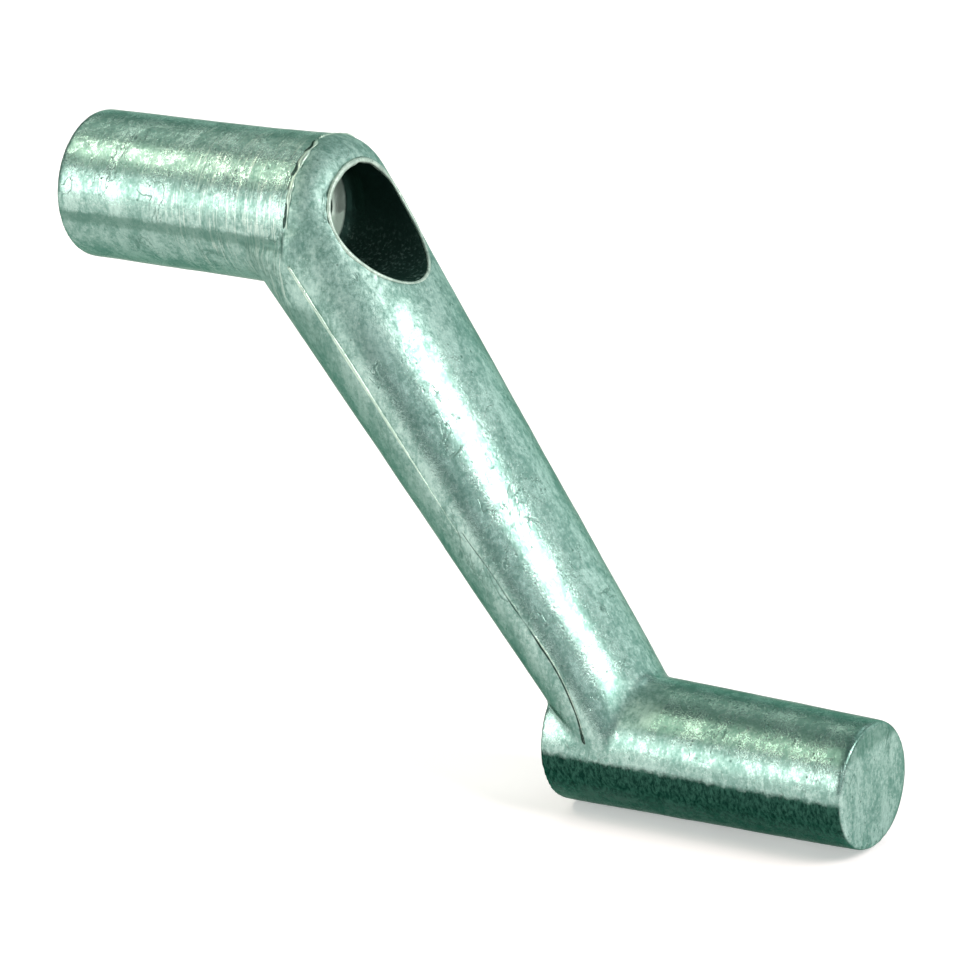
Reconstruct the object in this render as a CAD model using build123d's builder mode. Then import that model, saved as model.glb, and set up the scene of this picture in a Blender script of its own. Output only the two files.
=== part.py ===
"""Crank handle: one zinc die casting with a hub, a leaning arm and a finger grip.

Frame: the origin is the centre of the shaft socket's mouth. +X runs along the hub from
the shaft side to the grip side, +Z points up, and the arm hangs down towards -Z. The
casting is a mirror image of itself across the XZ plane.
"""

from build123d import *
import math
import os

# ---- driving dimensions, millimetres ----
hub_length = 35.7  # socket mouth to the parting line at the elbow
hub_mouth_diameter = 18.75  # drafted smaller at the mouth, where the die draws off
hub_diameter = 19.0
collar_length = 10.0  # the stretch of hub that swells towards the parting line
collar_diameter = 19.6
nose_diameter = 16.8  # the head in front of the parting line tapers to this
nose_overrun = 3.4  # the taper runs this far beyond the arm's front, which cuts it short
head_round = 4.2  # between the head's side and the arm's slanting front

throw = 63.5  # hub axis to grip axis
arm_reach = 42.4  # how far the arm's centre line runs along X over the throw
arm_setback = 1.55  # the arm's centre line crosses the hub axis this far behind the parting line
arm_flare = 1.15  # at the hub axis, the arm is wider than the collar by this on each side
arm_top_front = 8.6  # parting line to front crown, square to the arm
arm_top_back = 10.4
arm_foot_width = 16.7  # across the arm, at the grip axis
arm_foot_front = 5.4
arm_foot_back = 5.75
shoulder_drop = 6.0  # centre of the arm's rounded shoulders, below the hub axis
shoulder_rise = 9.0  # height of the rounding above that centre

grip_stub = 9.5  # grip behind the arm's centre line
grip_length = 42.3
grip_root_diameter = 17.3
grip_tip_diameter = 15.9
tip_round = 0.5

socket_diameter = 12.9  # slips over a 12.7 mm shaft
key_slot_width = 3.2
key_slot_depth = 1.0
web_thickness = 4.0  # metal between the socket and the screw's counterbore
counterbore_diameter = 14.3
floor_setback = 2.2  # counterbore floor behind the parting line
floor_corner = 1.3
screw_hole_diameter = 7.1

flash_height = 0.15  # the ring of flash left where the two die halves meet
flash_width = 0.5

# ---- derived positions ----
arm_top_width = collar_diameter + 2 * arm_flare
nose_length = arm_top_front + nose_overrun
arm_start_x = hub_length - arm_setback
arm_foot_x = arm_start_x + arm_reach
arm_run = math.hypot(arm_reach, throw)
grip_back_x = arm_foot_x - grip_stub
grip_tip_x = grip_back_x + grip_length
counterbore_floor_x = hub_length - floor_setback
socket_depth = counterbore_floor_x - web_thickness
section_overrun = hub_length  # the arm's sections run on above the hub before they are trimmed
down_arm = Vector(arm_reach, 0, -throw) / arm_run


def arm_plane(distance):
    """The plane square to the arm, this far down its centre line. Its local +Y is the arm's front."""
    return Plane(
        origin=Vector(arm_start_x, 0, 0) + down_arm * distance,
        x_dir=(0, 1, 0),
        z_dir=down_arm,
    )


def arm_size(top, foot, distance):
    """A size of the arm's section, which changes evenly from the hub axis to the grip axis."""
    return top + (foot - top) * distance / arm_run


# ---- head and arm: the dies' outline along X, trimmed to the arm's oval sections ----
with BuildPart() as arm:
    with BuildSketch(Plane.XZ):
        with BuildLine():
            Polyline(
                (hub_length, 0),
                (hub_length, collar_diameter / 2 + flash_height),
                (hub_length + flash_width / 2, collar_diameter / 2),
                (hub_length + nose_length, nose_diameter / 2),
                (hub_length + nose_length, 0),
                close=True,
            )
        make_face()
    revolve(axis=Axis.X)
    with BuildSketch(Plane.YZ):
        with Locations((0, -shoulder_drop)):
            Ellipse(arm_top_width / 2, shoulder_rise)
            Rectangle(2 * arm_top_width, 2 * throw, align=(Align.CENTER, Align.MAX))
    extrude(amount=2 * throw)
    for distance in (-section_overrun, arm_run):
        half_width = arm_size(arm_top_width, arm_foot_width, distance) / 2
        front = arm_size(arm_top_front, arm_foot_front, distance)
        back = arm_size(arm_top_back, arm_foot_back, distance)
        with BuildSketch(arm_plane(distance)):
            with BuildLine():
                EllipticalCenterArc((0, 0), half_width, front, start_angle=0, arc_size=180)
                EllipticalCenterArc((0, 0), half_width, back, start_angle=180, arc_size=180)
            make_face()
    loft(ruled=True, mode=Mode.INTERSECT)

# ---- the whole casting ----
with BuildPart() as crank_handle:
    add(arm.part)

    # the hub, swelling towards the parting line
    with BuildSketch(Plane.XZ):
        with BuildLine():
            Polyline(
                (0, 0),
                (0, hub_mouth_diameter / 2),
                (hub_length - collar_length, hub_diameter / 2),
                (hub_length - flash_width / 2, collar_diameter / 2),
                (hub_length, collar_diameter / 2 + flash_height),
                (hub_length, 0),
                close=True,
            )
        make_face()
    revolve(axis=Axis.X)

    # the finger grip, drafted towards its tip
    for x, diameter in ((grip_back_x, grip_root_diameter), (grip_tip_x, grip_tip_diameter)):
        with BuildSketch(Plane.YZ.offset(x)):
            with Locations((0, -throw)):
                Circle(diameter / 2)
    loft()

    # the corner between the head and the arm's front, and the corner at the grip's tip
    middle = arm_run / 2
    front_crown = (0, arm_size(arm_top_front, arm_foot_front, middle), 0)
    front_face = crank_handle.faces().sort_by_distance(arm_plane(middle).from_local_coords(front_crown))[0]
    fillet(front_face.edges().filter_by_position(Axis.Z, -throw / 4, hub_diameter), radius=head_round)
    fillet(crank_handle.edges().sort_by(Axis.X)[-1], radius=tip_round)

    # the counterbore that opens through the arm's front, with its floor corner rounded
    with BuildSketch(Plane.YZ.offset(counterbore_floor_x)):
        Circle(counterbore_diameter / 2)
    extrude(amount=throw, mode=Mode.SUBTRACT)
    fillet(crank_handle.edges(Select.LAST).sort_by(Axis.X)[0], radius=floor_corner)

    # the screw hole through the web, and the keyed shaft socket behind it
    with BuildSketch(Plane.YZ):
        Circle(screw_hole_diameter / 2)
    extrude(amount=hub_length, mode=Mode.SUBTRACT)
    with BuildSketch(Plane.YZ):
        Circle(socket_diameter / 2)
        Rectangle(key_slot_width, socket_diameter + 2 * key_slot_depth)
    extrude(amount=socket_depth, mode=Mode.SUBTRACT)

crank_handle.part.label = "crank_handle"
os.makedirs("parts", exist_ok=True)
export_step(crank_handle.part, "parts/crank_handle.step")
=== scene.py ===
# %% [markdown]
# # A die-cast crank handle
# The handle is one zinc casting: a round hub, an arm that leans away from it, and a round
# finger grip. The CAD model gives its true sizes. This file loads that model as a fixed
# frame, turns it into a casting with softened corners, a slightly wavy skin and the thin
# flash that two die halves leave, gives it the finish of bare cast metal, and sets up a
# floor, lamps and a camera.

# %% Load the frame
import math

import bmesh
import bpy
import numpy as np
from mathutils import Matrix, Vector


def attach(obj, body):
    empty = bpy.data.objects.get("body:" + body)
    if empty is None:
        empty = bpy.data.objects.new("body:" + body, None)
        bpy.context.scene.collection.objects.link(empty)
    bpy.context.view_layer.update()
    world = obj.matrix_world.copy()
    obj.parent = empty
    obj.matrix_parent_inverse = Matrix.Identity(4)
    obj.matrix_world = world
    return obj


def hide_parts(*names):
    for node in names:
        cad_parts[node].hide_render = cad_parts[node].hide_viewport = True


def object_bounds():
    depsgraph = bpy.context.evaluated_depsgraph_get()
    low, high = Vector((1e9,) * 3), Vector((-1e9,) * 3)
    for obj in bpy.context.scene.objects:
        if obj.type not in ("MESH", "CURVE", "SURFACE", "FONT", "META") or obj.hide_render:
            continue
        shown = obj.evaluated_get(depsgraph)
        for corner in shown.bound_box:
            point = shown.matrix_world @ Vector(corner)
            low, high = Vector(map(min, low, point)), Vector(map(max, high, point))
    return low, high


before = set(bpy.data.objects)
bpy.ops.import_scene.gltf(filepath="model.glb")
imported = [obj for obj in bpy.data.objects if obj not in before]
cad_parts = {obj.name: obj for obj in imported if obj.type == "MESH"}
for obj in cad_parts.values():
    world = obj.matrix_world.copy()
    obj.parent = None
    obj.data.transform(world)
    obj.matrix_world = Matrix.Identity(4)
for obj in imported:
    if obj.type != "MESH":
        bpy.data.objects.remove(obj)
cad_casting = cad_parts["crank_handle"]
cad_box = [list(corner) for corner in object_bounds()]
print("CAD box, metres:", cad_box)

# %% [markdown]
# ## The sizes that this file needs
# The frame's origin is the middle of the shaft socket's mouth, +X runs along the hub and the
# arm hangs towards -Z. The pieces below sit on the arm and the hub, so their few sizes are
# repeated here, in millimetres. The arm is an oval bar: its section, square to its own line,
# is two half ellipses that share one width and meet at the dies' parting line.

# %% Sizes
MM = 0.001
HUB_RADIUS = 9.8  # at the parting line
PARTING_X = 35.7  # where the hub's die halves meet
THROW = 63.5
ARM_START = np.array([34.15, 0.0, 0.0])  # the arm's line crosses the hub's axis here
ARM_END = np.array([76.55, 0.0, -THROW])  # and the grip's axis here
ARM_WIDTH = (10.95, 8.35)  # half widths at the hub's axis and at the grip's axis
ARM_FRONT = (8.6, 5.4)
ARM_BACK = (10.4, 5.75)
COUNTERBORE_RADIUS = 7.15
HUB_MOUTH_RADIUS = 9.375

arm_run = np.linalg.norm(ARM_END - ARM_START)
down_arm = (ARM_END - ARM_START) / arm_run
arm_front = np.array([-down_arm[2], 0.0, down_arm[0]])
print("arm: %.1f mm from axis to axis, leaning %.1f degrees" % (
    arm_run, math.degrees(math.atan2(down_arm[0], -down_arm[2]))))

# %% [markdown]
# ## The camera
# A long lens a good way off keeps the far end of the grip nearly as large as the near end.
# The camera stands to the front and right of the handle, a little above it, and is rolled
# by a few degrees. Its matrix is built from three directions, right, up and back, because
# that says exactly how it is turned.

# %% Camera
CAMERA_AZIMUTH = math.radians(35.165)
CAMERA_ELEVATION = math.radians(19.941)
CAMERA_ROLL = math.radians(-4.238)
CAMERA_PLACE = Vector((407.704, -500.6, 189.921)) * MM
CAMERA_LENS = 198.5


def camera_axes(azimuth, elevation, roll):
    """Right, up and back of a camera at this azimuth and elevation, turned by roll about back."""
    right = Vector((math.cos(azimuth), math.sin(azimuth), 0))
    back = Vector((
        math.sin(azimuth) * math.cos(elevation),
        -math.cos(azimuth) * math.cos(elevation),
        math.sin(elevation),
    ))
    up = back.cross(right)
    return (
        math.cos(roll) * right + math.sin(roll) * up,
        math.cos(roll) * up - math.sin(roll) * right,
        back,
    )


axes = Matrix(camera_axes(CAMERA_AZIMUTH, CAMERA_ELEVATION, CAMERA_ROLL)).transposed()
camera_data = bpy.data.cameras.new("camera")
camera_data.lens = CAMERA_LENS
camera_data.sensor_width = 36
camera_data.clip_start = 0.05
camera_data.clip_end = 10
camera = bpy.data.objects.new("camera", camera_data)
camera.matrix_world = Matrix.Translation(CAMERA_PLACE) @ axes.to_4x4()
bpy.context.collection.objects.link(camera)
bpy.context.scene.camera = camera
print("camera %.2f m from the hub" % camera.matrix_world.translation.length)

# %% [markdown]
# ## Random waves
# Nothing cast is quite straight. One function gives smooth random values in space, and every
# wavy edge and surface below reads it. It is a lattice of random numbers, blended between
# its points. The same seed gives the same numbers each time.

# %% Random waves
LATTICE = 24


def waves(points, wavelength, seed):
    """Smooth random values from -1 to 1 at an array of points, in millimetres.

    Space is cut into cubes one wavelength wide, with a random number at each corner. A point
    at the fraction f of a cube weighs the far corner by f * f * (3 - 2 * f) along each axis,
    and adds up the eight corners.
    """
    corners = np.random.default_rng(seed).uniform(-1, 1, (LATTICE,) * 3)
    place = np.asarray(points) / wavelength
    cell = np.floor(place).astype(int)
    fraction = place - cell
    weight = fraction * fraction * (3 - 2 * fraction)
    total = np.zeros(place.shape[:-1])
    for step in np.ndindex(2, 2, 2):
        share = np.prod(np.where(step, weight, 1 - weight), axis=-1)
        total += share * corners[tuple(np.moveaxis((cell + step) % LATTICE, -1, 0))]
    return total


def smooth_step(value, low, high):
    """0 below low, 1 above high, and an even S curve between them."""
    part = np.clip((value - low) / (high - low), 0, 1)
    return part * part * (3 - 2 * part)


print("waves at three points:", waves(np.array([[0, 0, 0], [3, 1, 2], [9, 4, 7]]), 5.0, 1).round(2))

# %% [markdown]
# ## Meshes from arrays
# A piece is computed as an array of points in millimetres and an array of four-sided faces.
# These two helpers number the faces of a grid and put the arrays into a Blender mesh.

# %% Grid helpers
def grid_faces(rows, columns, closed_rows=False):
    """Faces of a grid whose columns close on themselves, and whose rows may close too."""
    first = np.arange(rows if closed_rows else rows - 1)[:, None]
    side = np.arange(columns)[None, :]
    following = (first + 1) % rows
    neighbour = (side + 1) % columns
    corners = (
        first * columns + side,
        first * columns + neighbour,
        following * columns + neighbour,
        following * columns + side,
    )
    return np.stack([np.broadcast_to(c, (len(first), columns)) for c in corners], -1).reshape(-1, 4)


def make_piece(name, points, faces, capped=True):
    """A smooth mesh object from points in millimetres, with its place in its mesh.

    The points are rows of a grid. Where it is capped, its first and last rows become faces
    too. The faces are then turned outwards.
    """
    columns = points.shape[1]
    count = points.shape[0] * columns
    caps = [list(range(columns)), list(range(count - columns, count))] if capped else []
    mesh = bpy.data.meshes.new(name)
    mesh.from_pydata((points.reshape(-1, 3) * MM).tolist(), [], faces.tolist() + caps)
    work = bmesh.new()
    work.from_mesh(mesh)
    bmesh.ops.recalc_face_normals(work, faces=work.faces)
    work.to_mesh(mesh)
    work.free()
    mesh.polygons.foreach_set("use_smooth", np.ones(len(mesh.polygons), dtype=bool))
    mesh.update()
    piece = bpy.data.objects.new(name, mesh)
    bpy.context.collection.objects.link(piece)
    print(name, "has", len(mesh.polygons), "faces")
    return piece


print("a grid of 3 rows and 4 closed columns has", len(grid_faces(3, 4)), "faces")

# %% [markdown]
# ## The casting's skin
# The CAD solid has knife-sharp corners, and no casting has. A copy of its mesh is merged
# into one closed skin and remeshed into small even squares, fine enough to be pushed and
# smoothed like clay. Remeshing was chosen over beveling because the corners where the arm
# meets the hub run through curved faces that a bevel can't follow.

# %% Remesh a copy of the CAD solid
SKIN_SQUARE = 0.4


def evaluated_mesh(piece):
    """The mesh that a piece's modifiers make, as a mesh of its own."""
    bpy.context.view_layer.update()
    depsgraph = bpy.context.evaluated_depsgraph_get()
    return bpy.data.meshes.new_from_object(piece.evaluated_get(depsgraph))


def remeshed_copy(source, name, square):
    """A copy of a CAD solid's mesh with its loose triangles merged, remeshed into even squares."""
    mesh = source.data.copy()
    work = bmesh.new()
    work.from_mesh(mesh)
    bmesh.ops.remove_doubles(work, verts=work.verts, dist=1e-6)
    work.to_mesh(mesh)
    work.free()
    mesh.materials.clear()
    piece = bpy.data.objects.new(name, mesh)
    bpy.context.collection.objects.link(piece)
    remesh = piece.modifiers.new("even squares", "REMESH")
    remesh.mode = "VOXEL"
    remesh.voxel_size = square * MM
    remesh.use_smooth_shade = True
    piece.data = evaluated_mesh(piece)
    piece.modifiers.clear()
    return piece


def read_points(mesh, quality):
    """An array of the places or the normals of a mesh's points, called co and normal."""
    values = np.empty(len(mesh.vertices) * 3)
    mesh.vertices.foreach_get(quality, values)
    return values.reshape(-1, 3)


def write_points(mesh, points):
    """Move a mesh's points to the places in an array, in millimetres."""
    mesh.vertices.foreach_set("co", (points * MM).ravel())
    mesh.update()


casting = remeshed_copy(cad_casting, "cast_handle", SKIN_SQUARE)
skin = read_points(casting.data, "co") / MM
print("the skin has", len(skin), "points")

# %% [markdown]
# ## The elbow's shoulders
# Where the arm grows out of the hub, the die halves leave square shoulders, rounded by about
# 3 mm. They stand out just in front of the parting line and sink into the hub behind it. The
# skin's points there move straight out from the hub's axis until they lie on the shoulder.

# %% Push out the shoulders
SHOULDER_HALF_WIDTH = 10.8
SHOULDER_HALF_WIDTH_BEHIND = 10.2
SHOULDER_TOP = 1.5
SHOULDER_TOP_BEHIND = -1.7
SHOULDER_ROUND = 3.1
SHOULDER_ROUND_BEHIND = 2.1
STEP_LENGTH = 0.5  # the step between the two, along X, ends at the parting line
SHOULDER_FADE = (36.6, 40.2)  # in front of the parting line the shoulder melts into the head
ELBOW_BACK = PARTING_X - 9  # only points inside these limits may move
ELBOW_SIDE = 6
ELBOW_BOTTOM = -6
ELBOW_INSIDE = HUB_RADIUS - 1.3
MOST_SCALE = 1.4


def arm_section(share):
    """The arm's half width, front and back at a share of the way from the hub to the grip."""
    return [top + (foot - top) * share for top, foot in (ARM_WIDTH, ARM_FRONT, ARM_BACK)]


def arm_distance(points):
    """How far out points lie in the arm's oval section: 1 is on its surface, less is inside.

    With t the distance down the arm, n the distance in front of its line and y across it,
    this is the root of (y / half width)^2 + (n / half depth)^2, each size changing evenly
    with t and the half depth being the front's or the back's.
    """
    from_start = points - ARM_START
    ahead = from_start @ arm_front
    width, front, back = arm_section(from_start @ down_arm / arm_run)
    return np.hypot(points[:, 1] / width, ahead / np.where(ahead > 0, front, back))


def outline_distance(points):
    """How far points lie outside the shoulder's outline along X, less than 0 inside it.

    The outline is a tall box with rounded upper corners: the distance to the box shrunk by
    the corner radius, less that radius. Its top and its corners step up at the parting line.
    """
    step = smooth_step(points[:, 0], PARTING_X - STEP_LENGTH, PARTING_X)
    top = SHOULDER_TOP_BEHIND + (SHOULDER_TOP - SHOULDER_TOP_BEHIND) * step
    corner = SHOULDER_ROUND_BEHIND + (SHOULDER_ROUND - SHOULDER_ROUND_BEHIND) * step
    half_width = SHOULDER_HALF_WIDTH_BEHIND + (SHOULDER_HALF_WIDTH - SHOULDER_HALF_WIDTH_BEHIND) * step
    beside = np.abs(points[:, 1]) - (half_width - corner)
    above = points[:, 2] - (top - corner)
    outside = np.hypot(np.maximum(beside, 0), np.maximum(above, 0))
    return outside + np.minimum(np.maximum(beside, above), 0) - corner


def push_out_shoulders(points):
    """Scale y and z of the elbow's outer points until they leave the arm's oval or the outline.

    The scale is found by halving an interval twenty times, for all points at once. Points
    that would have to move inwards stay.
    """
    radius = np.hypot(points[:, 1], points[:, 2])
    near = (radius > ELBOW_INSIDE) & (np.abs(points[:, 1]) > ELBOW_SIDE) & (points[:, 2] > ELBOW_BOTTOM)
    near &= (points[:, 0] > ELBOW_BACK) & (points[:, 0] < SHOULDER_FADE[1])
    elbow = points[near]
    low, high = np.ones(len(elbow)), np.full(len(elbow), MOST_SCALE)
    for halving in range(20):
        middle = (low + high) / 2
        trial = elbow * np.stack([np.ones(len(elbow)), middle, middle], 1)
        inside = (arm_distance(trial) < 1) & (outline_distance(trial) < 0)
        low, high = np.where(inside, middle, low), np.where(inside, high, middle)
    scale = 1 + (low - 1) * (1 - smooth_step(elbow[:, 0], *SHOULDER_FADE))
    moved = points.copy()
    moved[near] = elbow * np.stack([np.ones(len(elbow)), scale, scale], 1)
    return moved


shouldered = push_out_shoulders(skin)
print("shoulders: %d points moved, by up to %.2f mm" % (
    np.sum(np.any(shouldered != skin, axis=1)), np.abs(shouldered - skin).max()))
skin = shouldered

# %% [markdown]
# ## A wavy skin
# Metal shrinks unevenly as it sets, so highlights on a casting wander and break up. Each point
# moves along its normal by two sizes of random waves, a few hundredths of a millimetre high.
# The shaft socket is a fit, so the hub's inside stays true.

# %% Waves on the skin
BROAD_WAVE, BROAD_HEIGHT = 6.5, 0.05
SHORT_WAVE, SHORT_HEIGHT = 2.2, 0.022
TRUE_INSIDE = (7.6, 8.6)  # within the hub, the waves fade in between these radii
TRUE_MOUTH = (0.5, 3.0)  # and behind its mouth, between these places along X

write_points(casting.data, skin)
normals = read_points(casting.data, "normal")
from_axis = np.hypot(skin[:, 1], skin[:, 2])
outer = np.where(skin[:, 0] < PARTING_X, smooth_step(from_axis, *TRUE_INSIDE), 1)
outer = outer * smooth_step(skin[:, 0], *TRUE_MOUTH)
height = BROAD_HEIGHT * waves(skin, BROAD_WAVE, 3) + SHORT_HEIGHT * waves(skin, SHORT_WAVE, 5)
skin = skin + normals * (outer * height)[:, None]
print("waves: %.3f mm at the most" % np.abs(outer * height).max())

# %% [markdown]
# ## The hub's mouth
# The hub's end was cut off square and its outer edge eased. Remeshing left small steps along
# that edge. A bevel would need a clean ring of edges, which the remeshed skin hasn't, so the
# points near the edge are set straight onto a quarter circle.

# %% Round the hub's mouth
RIM_ROUND = 0.6


def round_rim(points):
    """Put the points near the mouth's outer edge on a quarter circle.

    The circle's middle lies one radius in from the mouth and one down from the hub's side.
    Each point beyond that middle, both outwards and towards the mouth, is set on the circle,
    straight out from the middle.
    """
    radius = np.hypot(points[:, 1], points[:, 2])
    middle = HUB_MOUTH_RADIUS - RIM_ROUND
    back, out = points[:, 0] - RIM_ROUND, radius - middle
    length = np.maximum(np.hypot(back, out), 1e-9)
    near = (back < 0) & (out > 0)
    x = np.where(near, RIM_ROUND * (1 + back / length), points[:, 0])
    scale = np.where(near, (middle + RIM_ROUND * out / length) / np.maximum(radius, 1e-9), 1)
    return np.stack([x, points[:, 1] * scale, points[:, 2] * scale], -1)


skin = round_rim(skin)
write_points(casting.data, skin)
print("the hub's mouth is rounded by %.1f mm" % RIM_ROUND)

# %% [markdown]
# ## Softened corners
# A Smooth modifier moves each point towards its neighbours. A few rounds of it take the
# stair steps off the remeshed edges. Many more rounds, only where the arm's front runs into
# the grip, turn that sharp corner into the fillet that lets the metal flow there.

# %% Smooth the skin
GRIP_RADIUS = 8.5
ARM_MEAN_RADIUS = 7  # near the grip, to turn a share of the arm's section into millimetres
EDGE_ROUNDS = 4
FILLET_ROUNDS = 30
FILLET_REACH = (0.8, 2.0)  # full smoothing up to the first distance from the corner, none past the second
FILLET_START = 2.0  # in front of the arm's line

grip_distance = np.abs(np.hypot(skin[:, 1], skin[:, 2] + THROW) - GRIP_RADIUS)
arm_gap = np.abs(arm_distance(skin) - 1) * ARM_MEAN_RADIUS
in_front = (skin - ARM_END) @ arm_front > FILLET_START
corner = np.maximum(grip_distance, arm_gap)
weight = np.where(in_front & (skin[:, 2] < -THROW / 2), 1 - smooth_step(corner, *FILLET_REACH), 0)
group = casting.vertex_groups.new(name="fillet")
levels = np.round(weight, 1)
for level in np.unique(levels[levels > 0]):
    group.add(np.flatnonzero(levels == level).tolist(), float(level), "REPLACE")

fillet = casting.modifiers.new("fillet", "SMOOTH")
fillet.vertex_group = "fillet"
fillet.factor = 0.5
fillet.iterations = FILLET_ROUNDS
edges = casting.modifiers.new("soft edges", "SMOOTH")
edges.factor = 0.5
edges.iterations = EDGE_ROUNDS
print("fillet: %d points are smoothed further" % np.sum(levels > 0))

# %% [markdown]
# ## Flash round the elbow
# Where the two die halves meet round the hub, a thread of metal squeezed out and was broken
# off by hand, so it wanders and its height changes. It is a low ridge carried round the hub:
# a half-lens profile along an arc, with waves on its place, its width and its height.

# %% Seam flash
SEAM_ARC = math.radians(97)
SEAM_POINTS = 420
FLAT_LOOP_POINTS = 10


def hub_ring(angle, radius=HUB_RADIUS):
    """Points round the hub's axis at angles from the top: y is radius * sin, z is radius * cos."""
    return np.stack([np.zeros_like(angle), radius * np.sin(angle), radius * np.cos(angle)], -1)


def seam_line(angle):
    """Where the seam runs along X: the parting line's place plus long and short waves."""
    ring = hub_ring(angle)
    return PARTING_X + 0.34 * waves(ring, 3.1, 11) + 0.2 * waves(ring, 1.3, 12)


def ridge_round_hub(name, shift, half_width, rise, seed, rough):
    """A low ridge round the hub, from one shoulder over the top to the other.

    At each angle the profile is a flat loop: x goes as the half width times cos u, and the
    radius as the hub's, plus the rise times sin u above it and half of that below. Waves
    along the arc change the half width and the rise, which end in points.
    """
    angle = np.linspace(-SEAM_ARC, SEAM_ARC, SEAM_POINTS)[:, None]
    u = np.linspace(0, 2 * math.pi, FLAT_LOOP_POINTS, endpoint=False)[None, :]
    ring = hub_ring(angle)
    ends = np.sqrt(np.clip(1 - (angle / SEAM_ARC) ** 2, 0, 1)) ** 0.5
    uneven = np.clip(0.6 + rough * waves(ring, 1.1, seed) + 0.5 * waves(ring, 3.5, seed + 1), 0.06, 1.5)
    x = seam_line(angle) + shift + half_width * uneven * ends * np.cos(u)
    lift = np.sin(u)
    radius = HUB_RADIUS + 0.02 + rise * uneven * ends * np.where(lift > 0, lift, 0.5 * lift)
    y, z = radius * np.sin(angle), radius * np.cos(angle)
    points = np.stack(np.broadcast_arrays(x, y, z), -1)
    return make_piece(name, points, grid_faces(SEAM_POINTS, FLAT_LOOP_POINTS))


seam_flash = ridge_round_hub("seam_flash", 0.12, 0.30, 0.17, 21, 0.7)
# A nearly black strip just behind the flash: painted shade along the seam's step.
seam_shade_strip = ridge_round_hub("seam_shade_strip", -0.25, 0.21, 0.05, 31, 1.1)

# %% [markdown]
# ## Threads down the arm
# The same parting line runs on down both sides of the arm as a hair-thin ridge, painted
# bright, partly as torn metal and partly as painted highlight, and fades out where the dies
# closed tightly. Lower down, a fold starts beside it, painted dark as painted shade, drifts
# to the front and hooks back behind the grip: two fronts of metal met there and didn't quite
# join. All are thin threads laid on the arm's oval skin along a path.

# %% Threads on the arm's skin
def arm_skin(t, theta, side):
    """Points on the arm: t millimetres down it, at an angle round from the parting line.

    With w the half width there and h the front's or the back's half depth, the point is
    side * w * cos(theta) across and h * sin(theta) in front of the arm's line.
    """
    width, front, back = arm_section(t / arm_run)
    ahead = np.where(theta > 0, front, back) * np.sin(theta)
    skin_point = ARM_START + t[:, None] * down_arm + ahead[:, None] * arm_front
    skin_point[:, 1] += side * width * np.cos(theta)
    return skin_point


def unit(vectors):
    """Each vector divided by its length."""
    return vectors / np.linalg.norm(vectors, axis=-1, keepdims=True)


THREAD_SIDES = 8


def thread_on_arm(name, side, t, theta, half_width, rise):
    """A flat loop carried along a path on the arm's skin.

    The loop goes as cos u across the path, times the half width, and as sin u outwards, times
    the rise. Both sizes are arrays along the path.
    """
    path = arm_skin(t, theta, side)
    along = unit(np.gradient(path, axis=0))
    round_arm = unit(arm_skin(t, theta + 0.01, side) - arm_skin(t, theta - 0.01, side))
    outwards = side * unit(np.cross(round_arm, along))
    across = np.cross(along, outwards)
    u = np.linspace(0, 2 * math.pi, THREAD_SIDES, endpoint=False)[None, :, None]
    points = path[:, None, :] + half_width[:, None, None] * np.cos(u) * across[:, None, :]
    points = points + rise[:, None, None] * np.sin(u) * outwards[:, None, :]
    return make_piece(name, points, grid_faces(len(t), THREAD_SIDES))


RIDGE_START, RIDGE_FADE, RIDGE_END = 4.4, 16.4, 44.0  # millimetres down the arm
RIDGE_HALF_WIDTH, RIDGE_RISE = 0.26, 0.19
RIDGE_LEAST = 0.12  # the share of its size that is left at its end

ridge_t = np.linspace(RIDGE_START, RIDGE_END, 220)
ridge_line = arm_skin(ridge_t, 0 * ridge_t, -1)
ridge_fade = 1 - smooth_step(ridge_t, RIDGE_FADE, RIDGE_END)
ridge_size = np.clip(0.85 + 0.5 * waves(ridge_line, 2.3, 41), 0.3, 1.4)
ridge_size = ridge_size * (RIDGE_LEAST + (1 - RIDGE_LEAST) * ridge_fade)
ridge_theta = 0.012 * waves(ridge_line, 7.0, 42)
ridges = [
    thread_on_arm(
        "parting_ridge_" + word, side, ridge_t, ridge_theta,
        RIDGE_HALF_WIDTH * ridge_size, RIDGE_RISE * ridge_size)
    for word, side in (("left", -1), ("right", 1))
]

# %% [markdown]
# ### The fold
# The fold is one dark thread, painted shade in the fold, with a bright one beside it, a painted highlight
# where its edge would catch the light.
# Its path is a smooth curve, worked out as a distance down the arm and an angle round it,
# and waves make it thin out and thicken. Its lower end is the widest part.

# %% The fold
# millimetres down the arm, and degrees round it from the parting line
FOLD_PATH = np.array([(43.0, 5.0), (62.0, 13.0), (70.0, 27.0), (76.2, -42.0)])
FOLD_POINTS = 260
FOLD_HALF_WIDTH, FOLD_RISE = 0.15, 0.045
EDGE_HALF_WIDTH, EDGE_RISE = 0.17, 0.1
EDGE_ASIDE = 0.035  # the bright edge lies this angle further to the front


def bezier(controls, count):
    """A cubic curve steered by four points, with the weights (1-s)^3, 3s(1-s)^2, 3s^2(1-s) and s^3."""
    s = np.linspace(0, 1, count)[:, None]
    weights = np.hstack([(1 - s) ** 3, 3 * s * (1 - s) ** 2, 3 * s ** 2 * (1 - s), s ** 3])
    return weights @ controls


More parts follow.
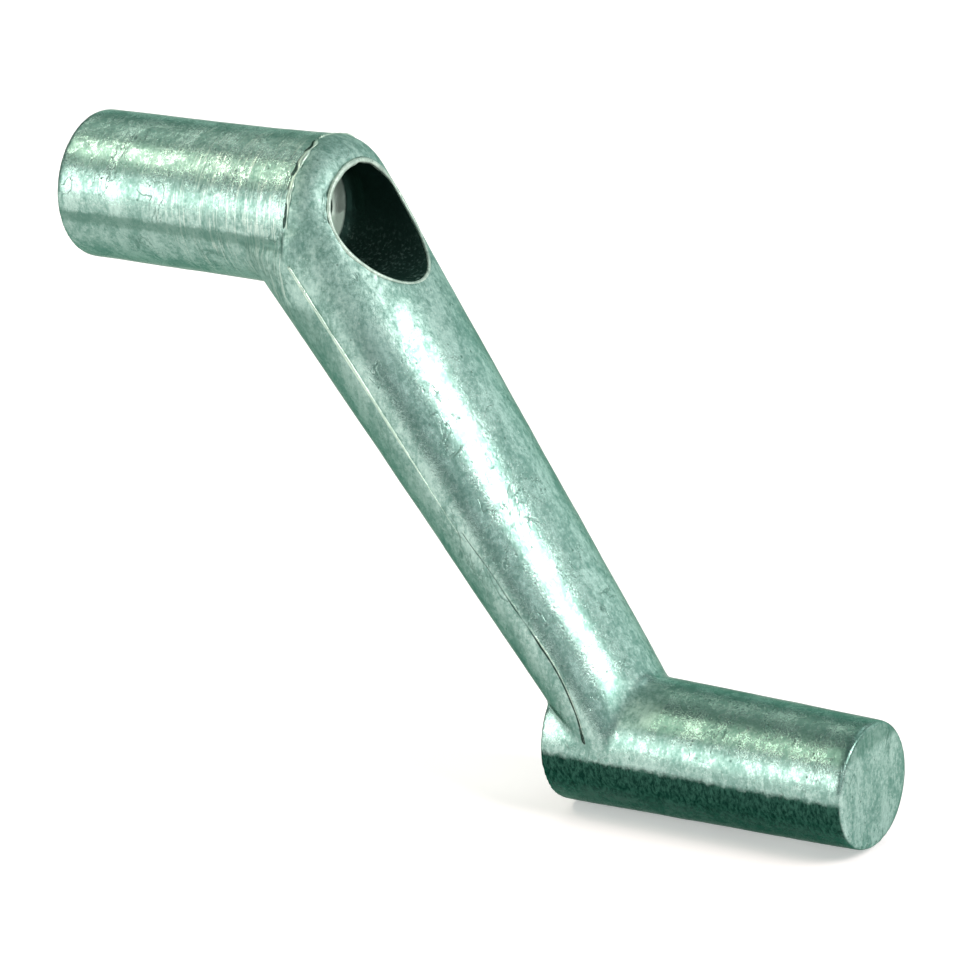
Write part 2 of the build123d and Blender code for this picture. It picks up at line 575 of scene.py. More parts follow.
fold_t, fold_degrees = bezier(FOLD_PATH, FOLD_POINTS).T
fold_line = arm_skin(fold_t, np.radians(fold_degrees), -1)
fold_theta = np.radians(fold_degrees) + 0.02 * waves(fold_line, 4.0, 61)
fold_share = np.linspace(0, 1, FOLD_POINTS)
fold_size = np.clip(0.3 + 0.8 * waves(fold_line, 2.6, 62), 0.03, 0.9) * smooth_step(fold_share, 0, 0.3)
fold_size += 1.7 * smooth_step(fold_share, 0.66, 0.9)
fold_rise = np.full(FOLD_POINTS, FOLD_RISE)
fold = thread_on_arm("fold", -1, fold_t, fold_theta, FOLD_HALF_WIDTH * fold_size, fold_rise)
# The bright edge beside the fold is a painted highlight, laid as a thread of pale metal.
edge_size = (0.05 + 0.55 * fold_size) * (1 - smooth_step(fold_share, 0.6, 0.85))
fold_edge_highlight = thread_on_arm(
    "fold_edge_highlight", -1, fold_t, fold_theta + EDGE_ASIDE, EDGE_HALF_WIDTH * edge_size, EDGE_RISE * edge_size)

# %% [markdown]
# ## The lip round the counterbore's mouth
# Cutting the counterbore through the arm's slanting front rolled a small burr over its edge,
# thickest at the top. The lip is a bead of changing thickness carried round the mouth's edge,
# which is where the counterbore's cylinder meets the arm's oval front.

# %% Mouth lip
LIP_POINTS = 300
LIP_SIDES = 10
LIP_THICK = 0.22
LIP_SUNK = 0.7  # how far the bead's middle lies under the arm's front, as a share of its radius


def mouth_edge(angle):
    """The points of the mouth's edge at angles from the top.

    They lie on the counterbore's cylinder, and x is found by halving an interval 30 times.
    """
    edge = hub_ring(angle, COUNTERBORE_RADIUS)
    low, high = np.full(angle.shape, PARTING_X), np.full(angle.shape, PARTING_X + 30)
    for halving in range(30):
        edge[:, 0] = (low + high) / 2
        inside = arm_distance(edge) < 1
        low, high = np.where(inside, edge[:, 0], low), np.where(inside, high, edge[:, 0])
    return np.stack([low, edge[:, 1], edge[:, 2]], -1)


def mouth_lip(name):
    """A bead along the mouth's edge: a circle of changing radius, carried along it.

    The circle lies square to the edge. Its first direction points out from the hub's axis,
    less what of it runs along the edge, and its second is square to both. The radius grows
    towards the top, where the bead also leans in over the bore.
    """
    angle = np.linspace(0, 2 * math.pi, LIP_POINTS, endpoint=False)
    u = np.linspace(0, 2 * math.pi, LIP_SIDES, endpoint=False)[None, :, None]
    edge = mouth_edge(angle)
    along = unit(np.roll(edge, -1, axis=0) - np.roll(edge, 1, axis=0))
    out = hub_ring(angle, 1)
    out = unit(out - np.sum(out * along, axis=1, keepdims=True) * along)
    side = np.cross(along, out)
    top = smooth_step(np.cos(angle), 0.2, 0.95)
    near_side = smooth_step(-np.sin(angle - 0.5), -0.2, 0.7)
    thick = LIP_THICK + 0.03 * near_side + 0.07 * waves(edge, 2.4, 51)
    thick = np.clip(thick + top * (0.13 + 0.1 * waves(edge, 1.2, 52)), 0.1, 0.6)[:, None]
    inwards = 0.7 * top[:, None] - 0.45
    centre = edge - inwards * thick * out - LIP_SUNK * thick * arm_front
    circle = np.cos(u) * out[:, None, :] + np.sin(u) * side[:, None, :]
    points = centre[:, None, :] + thick[:, :, None] * circle
    return make_piece(name, points, grid_faces(LIP_POINTS, LIP_SIDES, closed_rows=True), capped=False)


lip = mouth_lip("mouth_lip")

# %% [markdown]
# ## Node groups for a cast surface
# The finish is made of a few effects that every piece shares: cloudy patches and grain,
# turning streaks round the hub, flow marks and pits, and the places where the skin is dark,
# dull or stained. Each is a node group with named inputs and outputs. The helpers below add
# one node each, so that a group can be written down like a formula.

# %% Node helpers
def new_group(name, outputs):
    """An empty shader node group that is given a vector and puts out the named values.

    Returns the group, its vector and its outputs.
    """
    group = bpy.data.node_groups.new(name, "ShaderNodeTree")
    group.interface.new_socket(name="Vector", in_out="INPUT", socket_type="NodeSocketVector")
    for label in outputs:
        group.interface.new_socket(name=label, in_out="OUTPUT", socket_type="NodeSocketFloat")
    vector = group.nodes.new("NodeGroupInput").outputs["Vector"]
    return group, vector, group.nodes.new("NodeGroupOutput").inputs


def feed(tree, socket, value):
    """Link a socket to another socket, or set it to a plain value."""
    if isinstance(value, bpy.types.NodeSocket):
        tree.links.new(value, socket)
    else:
        socket.default_value = value


def calculate(tree, operation, a, b=0.0, c=0.0):
    """The result of one math node."""
    node = tree.nodes.new("ShaderNodeMath")
    node.operation = operation
    for socket, value in zip(node.inputs, (a, b, c)):
        feed(tree, socket, value)
    return node.outputs[0]


def joined(tree, operation, *values):
    """All the values joined by one operation, such as their product, from left to right."""
    result = values[0]
    for value in values[1:]:
        result = calculate(tree, operation, result, value)
    return result


def s_curve(tree, value, low, high, to_low=0.0, to_high=1.0):
    """A map range node with smooth ends: low becomes to_low, and high becomes to_high."""
    node = tree.nodes.new("ShaderNodeMapRange")
    node.interpolation_type = "SMOOTHSTEP"
    for socket, number in zip(node.inputs[:5], (value, low, high, to_low, to_high)):
        feed(tree, socket, number)
    return node.outputs[0]


def noise(tree, vector, scale, detail=2.0, roughness=0.5, distortion=0.0):
    """A noise texture's value, about 0.5 on average."""
    node = tree.nodes.new("ShaderNodeTexNoise")
    feed(tree, node.inputs["Vector"], vector)
    node.inputs["Scale"].default_value = scale
    node.inputs["Detail"].default_value = detail
    node.inputs["Roughness"].default_value = roughness
    node.inputs["Distortion"].default_value = distortion
    return node.outputs["Fac"]

# %% [markdown]
# ### Places on the handle
# Object coordinates are metres, so a Mapping node turns them into millimetres first. Some
# effects belong to one place, and their masks are worked out from where a point lies: from
# its coordinates, or from its distance from the arm's start measured along a direction.

# %% Helpers for places
def mapped(tree, vector, scale, rotation=(0, 0, 0)):
    """Object coordinates scaled and turned by a Mapping node."""
    node = tree.nodes.new("ShaderNodeMapping")
    feed(tree, node.inputs["Vector"], vector)
    node.inputs["Rotation"].default_value = rotation
    node.inputs["Scale"].default_value = scale
    return node.outputs[0]


def in_millimetres(tree, vector):
    """Object coordinates in millimetres."""
    return mapped(tree, vector, (1000, 1000, 1000))


def drawn_out(tree, vector, share):
    """Object coordinates in millimetres, with Z times a share, which draws a pattern out along Z.

    The turn by the arm's lean comes after that and only picks another part of the pattern.
    """
    lean = math.atan2(down_arm[0], -down_arm[2])
    return mapped(tree, vector, (1000, 1000, 1000 * share), rotation=(0, lean, 0))


def coordinates(tree, vector):
    """The x, y and z of a vector."""
    node = tree.nodes.new("ShaderNodeSeparateXYZ")
    feed(tree, node.inputs[0], vector)
    return node.outputs[0], node.outputs[1], node.outputs[2]


def from_arm_start(tree, place, direction):
    """How far a place in millimetres lies from the arm's start along a direction: a dot product."""
    node = tree.nodes.new("ShaderNodeVectorMath")
    node.operation = "DOT_PRODUCT"
    feed(tree, node.inputs[0], place)
    node.inputs[1].default_value = direction
    return calculate(tree, "SUBTRACT", node.outputs["Value"], float(ARM_START @ direction))


print("the arm starts %.1f mm along its own direction" % (ARM_START @ down_arm))

# %% [markdown]
# ### Patches and grain
# Zinc tarnishes in clouds a few millimetres wide, drawn out a little up and down, roughly the
# way the metal flowed, and under them the skin has a fine sandy grain. The group gives the
# clouds, a finer mottle inside them and the grain as values.

# %% Patches and grain
def build_cast_patches():
    """Noises of three sizes: cloudy patches, a fine mottle inside them, and a sandy grain."""
    group, vector, out = new_group("cast_patches", ["Patches", "Fine", "Grain"])
    millimetres = in_millimetres(group, vector)
    tall = drawn_out(group, vector, 0.45)
    clouds = noise(group, tall, 0.33, detail=5.0, roughness=0.68, distortion=0.5)
    specks = noise(group, millimetres, 1.5, detail=3.0, roughness=0.7)
    both = calculate(group, "MULTIPLY_ADD", clouds, 0.6, calculate(group, "MULTIPLY", specks, 0.4))
    mottle = noise(group, tall, 2.6, detail=4.0, roughness=0.75)
    feed(group, out["Patches"], s_curve(group, both, 0.39, 0.6))
    feed(group, out["Fine"], s_curve(group, mottle, 0.36, 0.64))
    feed(group, out["Grain"], noise(group, millimetres, 3.4, detail=3.0, roughness=0.65))
    return group


cast_patches = build_cast_patches()
print("group", cast_patches.name, "has", len(cast_patches.nodes), "nodes")

# %% [markdown]
# ### Turning streaks
# Near the elbow the hub was dressed with a belt or a file turned round it, which left fine
# streaks round its axis. They are a noise squeezed along X and stretched round the hub.

# %% Turning streaks
STREAKS_PER_METRE = (4200, 260, 260)


def build_hub_streaks():
    """Noise that changes fast along X and slowly round it, faded out towards the mouth."""
    group, vector, out = new_group("hub_streaks", ["Streaks"])
    squeezed = mapped(group, vector, STREAKS_PER_METRE)
    lines = noise(group, squeezed, 1.0, detail=3.0, roughness=0.6, distortion=0.3)
    x, _, z = coordinates(group, in_millimetres(group, vector))
    begins = s_curve(group, x, 6, 26)
    ends = s_curve(group, x, PARTING_X - 0.5, PARTING_X + 0.1, 1.0, 0.0)
    above_arm = s_curve(group, z, -16, -12)
    centred = calculate(group, "SUBTRACT", lines, 0.5)
    feed(group, out["Streaks"], joined(group, "MULTIPLY", centred, begins, ends, above_arm))
    return group


hub_streaks = build_hub_streaks()
print("group", hub_streaks.name, "has", len(hub_streaks.nodes), "nodes")

# %% [markdown]
# ### Flow marks and pits
# Where two fronts of molten metal met, they left thin wandering creases, and small bubbles
# left pits. A crease is drawn where a warped noise crosses its middle value, and only in
# some places. A pit is the middle of a small cell of a Voronoi texture. Both are tinted
# dark further down, as painted shade in them.

# %% Flow marks and pits
PITS_PER_MM = 0.85
CELLS_WITHOUT_PIT = 0.84  # of all cells, as a share


def build_cast_marks():
    """Creases where warped noise is near 0.5, and pits at the middles of some Voronoi cells."""
    group, vector, out = new_group("cast_marks", ["Creases", "Pits"])
    millimetres = in_millimetres(group, vector)
    field = noise(group, drawn_out(group, vector, 0.48), 0.21, detail=4.0, roughness=0.55, distortion=0.9)
    off_middle = calculate(group, "ABSOLUTE", calculate(group, "SUBTRACT", field, 0.5))
    line = s_curve(group, off_middle, 0.001, 0.012, 1.0, 0.0)
    somewhere = s_curve(group, noise(group, millimetres, 0.17, detail=1.0), 0.5, 0.6)
    feed(group, out["Creases"], calculate(group, "MULTIPLY", line, somewhere))

    cells = group.nodes.new("ShaderNodeTexVoronoi")
    feed(group, cells.inputs["Vector"], millimetres)
    cells.inputs["Scale"].default_value = PITS_PER_MM
    pit = s_curve(group, cells.outputs["Distance"], 0.04, 0.2, 1.0, 0.0)
    red = group.nodes.new("ShaderNodeSeparateColor")
    feed(group, red.inputs[0], cells.outputs["Color"])
    chosen = calculate(group, "GREATER_THAN", red.outputs[0], CELLS_WITHOUT_PIT)
    feed(group, out["Pits"], calculate(group, "MULTIPLY", pit, chosen))
    return group


cast_marks = build_cast_marks()
print("group", cast_marks.name, "has", len(cast_marks.nodes), "nodes")

# %% [markdown]
# ### The bore's painted shade and light
# The counterbore's wall is painted nearly black, as painted shade inside the deep bore, with
# paler specks low down. The screw hole and the socket are painted dark as painted shade too.
# The counterbore's floor, where the screw's head sits, is painted pale as painted light, and
# made dull. The group finds them by their distance from the hub's axis and along it. The
# bore's wall ends at the arm's oval front, so one helper says which points lie below that front.

# %% Below the arm's front
def under_skin(group, place, y):
    """1 below the arm's oval front: where (y / width)^2 + (ahead / front)^2 is under one."""
    ahead = from_arm_start(group, place, arm_front)
    down = from_arm_start(group, place, down_arm)
    front = calculate(group, "MULTIPLY_ADD", down, (ARM_FRONT[1] - ARM_FRONT[0]) / arm_run, ARM_FRONT[0])
    width = calculate(group, "MULTIPLY_ADD", down, (ARM_WIDTH[1] - ARM_WIDTH[0]) / arm_run, ARM_WIDTH[0])
    ahead_share = calculate(group, "POWER", calculate(group, "DIVIDE", ahead, front), 2.0)
    side_share = calculate(group, "POWER", calculate(group, "DIVIDE", y, width), 2.0)
    return s_curve(group, calculate(group, "ADD", ahead_share, side_share), 0.93, 0.96, 1.0, 0.0)


# %% Dark bore
BORE_FLOOR_X = 33.5
FLOOR_CORNER = 0.6  # how far the pale floor's metal is looked for behind the floor
SCREW_HOLE_RADIUS = 3.55
SLOT_REACH = 7.45  # the key slots' floors, from the hub's axis


def build_bore_painted_light_and_shade():
    """Wall is 1 on the bores' walls, where shade is painted, less some pale specks low down. Floor is 1 on
    the floor, where light is painted.
    """
    group, vector, out = new_group("bore_painted_light_and_shade", ["Wall", "Floor"])
    millimetres = in_millimetres(group, vector)
    x, y, z = coordinates(group, millimetres)
    squares = calculate(group, "ADD", calculate(group, "MULTIPLY", y, y), calculate(group, "MULTIPLY", z, z))
    radius = calculate(group, "SQRT", squares)

    wide = s_curve(group, radius, COUNTERBORE_RADIUS + 0.15, COUNTERBORE_RADIUS + 0.25, 1.0, 0.0)
    inside = calculate(group, "MULTIPLY", wide, under_skin(group, millimetres, y))
    past_floor = s_curve(group, x, BORE_FLOOR_X + 0.02, BORE_FLOOR_X + 0.12)
    past_web = calculate(group, "GREATER_THAN", x, BORE_FLOOR_X - FLOOR_CORNER)
    not_past_floor = calculate(group, "SUBTRACT", 1.0, past_floor)
    feed(group, out["Floor"], joined(group, "MULTIPLY", inside, past_web, not_past_floor))

    in_bore = calculate(group, "MULTIPLY", inside, past_floor)
    in_hole = s_curve(group, radius, SCREW_HOLE_RADIUS + 0.05, SCREW_HOLE_RADIUS + 0.2, 1.0, 0.0)
    in_socket = joined(
        group, "MULTIPLY",
        s_curve(group, radius, SLOT_REACH + 0.05, SLOT_REACH + 0.15, 1.0, 0.0),
        s_curve(group, x, 0.4, 3.0),
        calculate(group, "LESS_THAN", x, BORE_FLOOR_X - FLOOR_CORNER),
    )
    wall = joined(group, "MAXIMUM", in_bore, in_hole, in_socket)
    specks = s_curve(group, noise(group, millimetres, 2.2, detail=3.0, roughness=0.6), 0.5, 0.72)
    low_down = s_curve(group, z, -7.8, -1.0, 0.4, 0.0)
    unspeckled = calculate(group, "SUBTRACT", 1.0, calculate(group, "MULTIPLY", specks, low_down))
    feed(group, out["Wall"], calculate(group, "MULTIPLY", wall, unspeckled))
    return group


bore_painted_light_and_shade = build_bore_painted_light_and_shade()
print("group", bore_painted_light_and_shade.name, "has", len(bore_painted_light_and_shade.nodes), "nodes")

# %% [markdown]
# ### The dull head and the painted shade
# The head round the mouth, the elbow's flanks and the corner behind the grip were left just as
# they came out of the die, duller than the dressed hub and arm. The lower half of the grip is
# painted dark green as painted shade, up to an uneven line along its side, and the hub's underside
# with a line along its lower edge, the arm's back and the grip's top are painted a little darker
# as painted shade. These are places too. A height that wanders a little with a noise keeps their edges
# uneven.

# %% Where it is dull
JOINT = Vector((79, -4, -57))  # the middle of the corner between the arm's front and the grip


def dull_places(group, millimetres, x, z, height):
    """1 on the head, on the elbow's flanks behind it, and round the corner behind the grip."""
    past_seam = s_curve(group, x, PARTING_X - 0.2, PARTING_X + 0.2)
    above_arm = s_curve(group, height, -18, -5)
    head = calculate(group, "MULTIPLY", past_seam, above_arm)
    behind_seam = s_curve(group, x, 28.0, 29.5)
    low_on_hub = s_curve(group, z, -2.0, -1.4, 1.0, 0.0)
    flank = joined(group, "MULTIPLY", behind_seam, low_on_hub, above_arm)
    away = group.nodes.new("ShaderNodeVectorMath")
    away.operation = "DISTANCE"
    feed(group, away.inputs[0], millimetres)
    away.inputs[1].default_value = JOINT
    joint = s_curve(group, away.outputs["Value"], 2.0, 4.5, 1.0, 0.0)
    return joined(group, "MAXIMUM", head, flank, joint)


# %% Where the grip's shade is painted
GRIP_SHADE_LINE = 0.5 - THROW
GRIP_TIP = cad_box[1][0] / MM
GRIP_BOTTOM = -72.2


def grip_shade_places(group, x, z, height):
    """1 on the grip below an uneven line, short of its end face, and less towards the very bottom: where the
    grip's shade is painted.
    """
    low = s_curve(group, height, GRIP_SHADE_LINE - 0.6, GRIP_SHADE_LINE + 0.4, 1.0, 0.0)
    on_side = s_curve(group, x, GRIP_TIP - 0.5, GRIP_TIP - 0.2, 1.0, 0.0)
    above_bottom = s_curve(group, z, GRIP_BOTTOM, GRIP_BOTTOM + 6.2, 0.4, 1.0)
    return joined(group, "MULTIPLY", low, on_side, above_bottom)


# %% Where the other shade is painted
# How dark the painted shade is: on the hub's underside, and on the arm's back and the grip's top.
UNDERSIDE_SHADE = 0.42
BACK_AND_TOP_SHADE = 0.66


def painted_shade_places(group, millimetres, x, z, height):
    """Painted shade on the hub's underside, most on a line along its edge, on the arm's back and the grip's
    top.
    """
    on_hub = s_curve(group, x, PARTING_X - 1.7, PARTING_X - 0.2, 1.0, 0.0)
    underside = calculate(group, "MULTIPLY", on_hub, s_curve(group, height, -1.8, 0, UNDERSIDE_SHADE, 0.0))
    line_top = s_curve(group, height, -1.0, -0.2, 1.0, 0.0)
    line_bottom = s_curve(group, height, -3.0, -1.8)
    dark_line = joined(group, "MULTIPLY", on_hub, line_top, line_bottom)

    ahead = from_arm_start(group, millimetres, arm_front)
    at_back = s_curve(group, ahead, -1.8, 1.2, 1.0, 0.0)
    below_hub = s_curve(group, z, -10, -8, 1.0, 0.0)
    above_grip = s_curve(group, z, -62, -56)
    arm_back = joined(group, "MULTIPLY", at_back, below_hub, above_grip)
    past_joint = s_curve(group, x, 77.5, 83)
    grip_top = calculate(group, "MULTIPLY", past_joint, s_curve(group, z, -59.1, -58.0))
    others = calculate(group, "MULTIPLY", calculate(group, "MAXIMUM", arm_back, grip_top), BACK_AND_TOP_SHADE)
    return joined(group, "MAXIMUM", underside, dark_line, others)


# %% Dull and painted-shade zones
def build_dull_and_painted_shade_zones():
    """The dull places, the grip's painted shade and the other painted shade, each 1 inside and 0 outside."""
    group, vector, out = new_group("dull_and_painted_shade_zones", ["Dull", "GripShade", "PaintedShade"])
    millimetres = in_millimetres(group, vector)
    x, _, z = coordinates(group, millimetres)
    uneven = noise(group, millimetres, 0.9, detail=4.0, roughness=0.7)
    height = calculate(group, "ADD", z, calculate(group, "MULTIPLY_ADD", uneven, 1.6, -0.8))
    feed(group, out["Dull"], dull_places(group, millimetres, x, z, height))
    feed(group, out["GripShade"], grip_shade_places(group, x, z, height))
    feed(group, out["PaintedShade"], painted_shade_places(group, millimetres, x, z, height))
    return group


dull_and_painted_shade_zones = build_dull_and_painted_shade_zones()
print("group", dull_and_painted_shade_zones.name, "has", len(dull_and_painted_shade_zones.nodes), "nodes")

# %% [markdown]
# ## Bare cast zinc
# Zinc is a metal, so Metallic is 1 and Base Color is the tint of its reflections: a cool grey
# with some green in it, darker in the tarnished patches. The patches also change how rough
# it is, and the grain, streaks, creases and pits are the height of a Bump node. Each effect
# is laid over the one before by its own mask.

# %% Tints
ZINC_CLEAN = (0.41, 0.58, 0.525, 1)
ZINC_TARNISHED = (0.13, 0.26, 0.22, 1)
EDGE_TINT = (0.30, 0.43, 0.37, 1)  # what the skin reflects where it turns away from the eye
GRAIN_TINT = (0.62, 0.74, 0.68, 1)
STREAK_TINT = (0.66, 0.78, 0.70, 1)
# pits and creases: painted shade in these small hollows
PIT_SHADE_TINT = (0.06, 0.13, 0.105, 1)
CREASE_SHADE_TINT = (0.10, 0.19, 0.16, 1)
# painted shade: the hub's underside and its lower edge, the arm's back and the grip's top
PAINTED_SHADE_TINT = (0.07, 0.16, 0.125, 1)
# painted shade: the dark band on the grip's underside, with a paler mottle
GRIP_SHADE_DARK = (0.004, 0.025, 0.018, 1)
GRIP_SHADE_PALE = (0.028, 0.09, 0.066, 1)
# painted light: the counterbore's floor, paler than the metal
BORE_FLOOR_PAINTED_LIGHT = (0.62, 0.76, 0.68, 1)
# painted shade: the bores' walls, nearly black
BORE_WALL_PAINTED_SHADE = (0.018, 0.045, 0.036, 1)
print("tarnished zinc reflects %.0f %% as much as clean" % (100 * ZINC_TARNISHED[1] / ZINC_CLEAN[1]))

# %% Colour and roughness
PATCH_ROUGH = 0.10
GRAIN_ROUGH = 0.12


def colour_mix(tree, factor, a, b):
    """A Mix node between two colours."""
    node = tree.nodes.new("ShaderNodeMix")
    node.data_type = "RGBA"
    for socket, value in ((node.inputs[0], factor), (node.inputs[6], a), (node.inputs[7], b)):
        feed(tree, socket, value)
    return node.outputs[2]


def placed(tree, group, vector):
    """The outputs of a group that is placed in a material and given a vector."""
    node = tree.nodes.new("ShaderNodeGroup")
    node.node_tree = group
    tree.links.new(vector, node.inputs["Vector"])
    return node.outputs


def cast_tint(tree, clean, tarnished, patches, streaks, marks):
    """Clean and tarnished metal in patches, under pale grain and streaks, with dark pits and creases as
    painted shade.
    """
    clouds = calculate(tree, "MULTIPLY", patches["Patches"], 0.7)
    tint = colour_mix(tree, calculate(tree, "MULTIPLY_ADD", patches["Fine"], 0.3, clouds), clean, tarnished)
    for amount, colour in (
        (s_curve(tree, patches["Grain"], 0.56, 0.72, 0.0, 0.4), GRAIN_TINT),
        (calculate(tree, "MULTIPLY", marks["Pits"], 0.75), PIT_SHADE_TINT),
        (calculate(tree, "MULTIPLY", marks["Creases"], 0.65), CREASE_SHADE_TINT),
        (s_curve(tree, streaks["Streaks"], 0.02, 0.16, 0.0, 0.5), STREAK_TINT),
    ):
        tint = colour_mix(tree, amount, tint, colour)
    return tint


def cast_roughness(tree, middle, patches):
    """The middle roughness, plus the patches' and the grain's shares less half of each."""
    rough = calculate(tree, "MULTIPLY_ADD", patches["Patches"], PATCH_ROUGH, middle - PATCH_ROUGH / 2)
    rough = calculate(tree, "SUBTRACT", rough, GRAIN_ROUGH / 2)
    return calculate(tree, "MULTIPLY_ADD", patches["Grain"], GRAIN_ROUGH, rough)


def zoned_finish(tree, vector, patches, tint, rough):
    """The tint and the roughness again, with the painted shade, the dull zones and the bore's painted shade
    and light laid over them.
    """
    bore = placed(tree, bore_painted_light_and_shade, vector)
    zones = placed(tree, dull_and_painted_shade_zones, vector)
    for amount, colour in (
        # painted shade first, then the bore's painted light on its floor and painted shade on its walls
        (calculate(tree, "MULTIPLY", zones["PaintedShade"], 0.75), PAINTED_SHADE_TINT),
        (zones["GripShade"], colour_mix(tree, patches["Fine"], GRIP_SHADE_DARK, GRIP_SHADE_PALE)),
        (bore["Floor"], BORE_FLOOR_PAINTED_LIGHT),
        (bore["Wall"], BORE_WALL_PAINTED_SHADE),
    ):
        tint = colour_mix(tree, amount, tint, colour)
    for amount, more in ((zones["Dull"], 0.3), (bore["Floor"], 0.3), (bore["Wall"], 0.15)):
        rough = calculate(tree, "MULTIPLY_ADD", amount, more, rough)
    return tint, rough


# %% Bump
BUMP_DISTANCE = 0.03 * MM


def cast_normal(tree, patches, streaks, marks):
    """A Bump node's normal. Its height is a sum: raised grain and streaks, sunk creases and pits."""
    height = calculate(tree, "MULTIPLY", patches["Grain"], 0.6)
    for value, share in (
        (streaks["Streaks"], 2.2),
        (patches["Patches"], 0.25),
        (patches["Fine"], -0.3),
        (marks["Creases"], -0.9),
        (marks["Pits"], -0.8),
    ):
        height = calculate(tree, "MULTIPLY_ADD", value, share, height)
    bump = tree.nodes.new("ShaderNodeBump")
    bump.inputs["Strength"].default_value = 1.0
    bump.inputs["Distance"].default_value = BUMP_DISTANCE
    tree.links.new(height, bump.inputs["Height"])
    return bump.outputs["Normal"]


# %% [markdown]
# ### Four finishes of the same metal
# The handle's skin is bare zinc with all its zones, painted shade and painted light among them.
# The flash and the parting ridges are paler, partly torn metal and partly painted highlight, and the
# fold's edge is a painted highlight in the same metal; the lip is pale as painted highlight and dull;
# and the crack and the fold are nearly black as painted shade. The thin pieces' metal leaves the zones
# out, because they would darken it.

# %% Zinc materials
def cast_zinc(name, clean, tarnished, roughness, zoned=True):
    """Cast zinc: tints for clean and tarnished metal, its middle roughness, and whether it has zones."""
    material = bpy.data.materials.new(name)
    material.use_nodes = True
    tree = material.node_tree
    vector = tree.nodes.new("ShaderNodeTexCoord").outputs["Object"]
    patches = placed(tree, cast_patches, vector)
    streaks = placed(tree, hub_streaks, vector)
    marks = placed(tree, cast_marks, vector)
    tint = cast_tint(tree, clean, tarnished, patches, streaks, marks)
    rough = cast_roughness(tree, roughness, patches)
    if zoned:
        tint, rough = zoned_finish(tree, vector, patches, tint, rough)
    shader = tree.nodes["Principled BSDF"]
    shader.inputs["Metallic"].default_value = 1.0
    shader.inputs["Specular Tint"].default_value = EDGE_TINT
    feed(tree, shader.inputs["Base Color"], tint)
    feed(tree, shader.inputs["Roughness"], rough)
    feed(tree, shader.inputs["Normal"], cast_normal(tree, patches, streaks, marks))
    print(name, "is made of", len(tree.nodes), "nodes")
    return material


zinc = cast_zinc("bare_cast_zinc_painted_light_and_shade", ZINC_CLEAN, ZINC_TARNISHED, 0.27)
# Paler metal on the flash and the parting ridges, partly torn metal and partly painted highlight; on the
# fold's edge, painted highlight.
bright_zinc = cast_zinc("torn_zinc_painted_highlight", (0.62, 0.76, 0.66, 1), (0.40, 0.55, 0.46, 1), 0.36, zoned=False)
# Pale lip: a painted highlight along the mouth's edge, and dull.
dull_zinc = cast_zinc("lip_painted_highlight_zinc", (0.62, 0.74, 0.66, 1), (0.32, 0.43, 0.37, 1), 0.55, zoned=False)
# Nearly black: painted shade in the seam's step and in the fold.
painted_shade_zinc = cast_zinc("crack_and_fold_shade_zinc", (0.05, 0.09, 0.075, 1), (0.02, 0.04, 0.033, 1), 0.5, zoned=False)

# %% [markdown]
# ## Dress the pieces
# The casting's skin stands for the CAD solid, and the thin pieces ride on the same body.

# %% Assign materials and bodies
casting.data.materials.clear()
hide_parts("crank_handle")
for piece, finish in (
    (casting, zinc),
    (seam_flash, bright_zinc),
    (seam_shade_strip, painted_shade_zinc),
    (ridges[0], bright_zinc),
    (ridges[1], bright_zinc),
    (fold, painted_shade_zinc),
    (fold_edge_highlight, bright_zinc),
    (lip, dull_zinc),
):
    piece.data.materials.append(finish)
    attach(piece, "root")
    print(piece.name, "is finished in", finish.name)

# %% [markdown]
# ## Floor
# The floor is plain and pale and lies just under the grip. Metal is only as bright as what it
# reflects, so the floor is as much a part of the handle's look as the lamps are. To look
# white it glows a little, but only for the eye and in reflections, so the glow puts no light
# on the handle's dull parts and the grip keeps its shadow.

# %% Floor
FLOOR_GAP = 0.05 * MM
FLOOR_SIZE = 6
FLOOR_COLOUR = (0.95, 0.90, 0.91, 1)
FLOOR_GLOW = (0.3, 0.3, 0.3, 1)  # what is added to the floor for the eye and in reflections

floor_z = cad_box[0][2] - FLOOR_GAP
bpy.ops.mesh.primitive_plane_add(size=FLOOR_SIZE, location=(0, 0, floor_z))
floor = bpy.context.object
floor.name = "floor"
floor_paint = bpy.data.materials.new("floor_paint")
floor_paint.use_nodes = True
tree = floor_paint.node_tree
paint = tree.nodes["Principled BSDF"]
paint.inputs["Base Color"].default_value = FLOOR_COLOUR
paint.inputs["Roughness"].default_value = 1.0
paint.inputs["Specular IOR Level"].default_value = 0.0
paint.inputs["Emission Strength"].default_value = 1.0
rays = tree.nodes.new("ShaderNodeLightPath").outputs
seen = joined(tree, "MAXIMUM", rays["Is Camera Ray"], rays["Is Glossy Ray"], rays["Is Transmission Ray"])
feed(tree, paint.inputs["Emission Color"], colour_mix(tree, seen, (0, 0, 0, 1), FLOOR_GLOW))
floor.data.materials.append(floor_paint)
print("floor at z = %.2f mm" % (floor_z / MM))

# %% [markdown]
# ## Light
# A round bar of metal shows each lamp as a stripe, so the lamps stand where the stripes belong.
# The key stands on the right and draws the bright streak down the arm's front. A long lamp in
# front on the left draws the band along the hub's and the grip's sides, and two narrow ones
# above draw the bands near their tops. The rest are weak: a wide one on the far side and one
# beside the key lift the arm's right side and the tops, one near the eye lifts the dull skin
# between the stripes, and one overhead lights the floor. The lamps are a little warm and the
# world a little green, so that the stripes stay white while the rest takes the world's colour.

# %% Lamps
WORLD_COLOUR = (0.42, 0.53, 0.51, 1)
WORLD_STRENGTH = 0.60
HANDLE_MIDDLE = Vector((55, 0, -32)) * MM

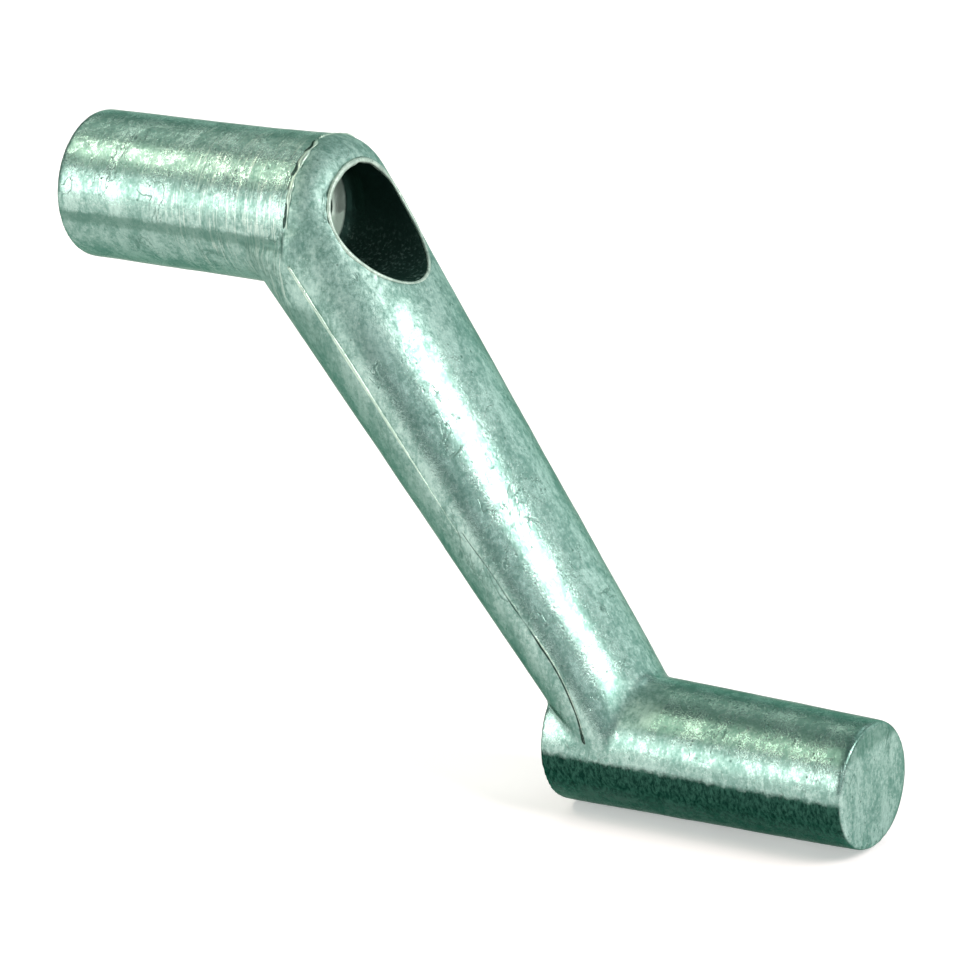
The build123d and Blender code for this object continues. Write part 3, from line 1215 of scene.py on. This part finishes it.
world = bpy.data.worlds.new("world")
bpy.context.scene.world = world
world.use_nodes = True
background = world.node_tree.nodes["Background"]
background.inputs["Color"].default_value = WORLD_COLOUR
background.inputs["Strength"].default_value = WORLD_STRENGTH


def soft_lamp(name, direction, distance, width, height, radiance, colour=(1, 1, 1)):
    """A rectangular lamp in a direction from the handle's middle, facing it. Its sizes are metres.

    Radiance is how bright its face looks. Its power in watts is that times pi and its area.
    """
    towards = Vector(direction).normalized()
    lamp = bpy.data.lights.new(name, "AREA")
    lamp.shape = "RECTANGLE"
    lamp.size = width
    lamp.size_y = height
    lamp.color = colour
    lamp.energy = radiance * math.pi * width * height
    stand = bpy.data.objects.new(name, lamp)
    turn = towards.to_track_quat("Z", "Y").to_matrix().to_4x4()
    stand.matrix_world = Matrix.Translation(HANDLE_MIDDLE + towards * distance) @ turn
    stand.visible_camera = False
    bpy.context.collection.objects.link(stand)
    print("%s lamp: %.1f W" % (name, lamp.energy))


soft_lamp("key", (0.82, -0.05, 0.57), 0.8, 0.28, 0.28, 17.0, (1.0, 0.91, 0.90))
soft_lamp("front", (-0.54, -0.79, 0.25), 0.8, 0.55, 0.36, 4.1, (1.0, 0.92, 0.89))
soft_lamp("top", (-0.541, -0.341, 0.768), 0.8, 0.5, 0.08, 13.5, (1.0, 0.90, 0.75))
soft_lamp("top_back", (-0.541, 0.42, 0.73), 0.8, 0.5, 0.10, 3.4, (1.0, 0.94, 0.84))
soft_lamp("overhead", (0.1, 0.6, 1.0), 0.9, 0.4, 0.4, 2.0)
soft_lamp("near", (0.60, -0.71, 0.40), 1.0, 0.6, 0.45, 0.85)
soft_lamp("far", (0.04, 0.98, 0.2), 1.0, 2.2, 0.5, 1.1, (1.0, 1.0, 0.98))
soft_lamp("side", (0.70, 0.52, 0.48), 0.8, 0.5, 0.35, 0.8, (1.0, 1.0, 0.98))

# %% [markdown]
# ## View transform
# The scene uses the Standard view transform.

# %% View transform
bpy.context.scene.view_settings.view_transform = "Standard"
